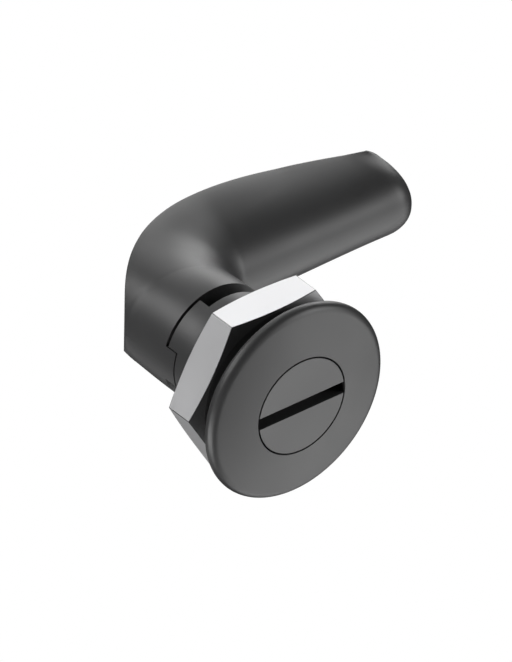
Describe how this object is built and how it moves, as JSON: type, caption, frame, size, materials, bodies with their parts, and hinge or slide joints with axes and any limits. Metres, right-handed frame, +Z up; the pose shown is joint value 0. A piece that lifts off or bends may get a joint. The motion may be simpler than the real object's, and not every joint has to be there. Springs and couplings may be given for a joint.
{
  "type": "cabinet twist lock",
  "caption": "Quarter-turn cabinet lock: slotted plug in a round flanged threaded housing with clamping nut and an L-shaped locking arm.",
  "frame": {"origin": "on the lock axis, in the plane of the flange's rear face, which is the panel's front surface", "axes": "+X the way the locking arm points when locked, +Y from the front of the panel to the inside, +Z up"},
  "size_m": [0.0607, 0.0423, 0.032],
  "materials": {
    "black_coat": "satin black powder coat",
    "plug_coat": "satin black powder coat",
    "arm_coat": "satin black powder coat",
    "nut_plating": "bright nickel plating",
    "screw_zinc": "zinc plated",
    "seal_rubber": "matt black"
  },
  "bodies": {
    "lock_body": {"housing": "black_coat", "panel_gasket": "seal_rubber", "hex_nut": "nut_plating"},
    "turning_arm": {"plug": "plug_coat", "plug_o_ring": "seal_rubber", "locking_arm": "arm_coat", "arm_washer": "screw_zinc", "lock_washer": "screw_zinc", "arm_screw": "screw_zinc"}
  },
  "joints": [
    {"name": "arm_turn", "type": "hinge", "parent": "lock_body", "child": "turning_arm", "pos_m": [0, 0, 0], "axis": [0, -1, 0], "range_deg": [0, 90]}
  ]
}
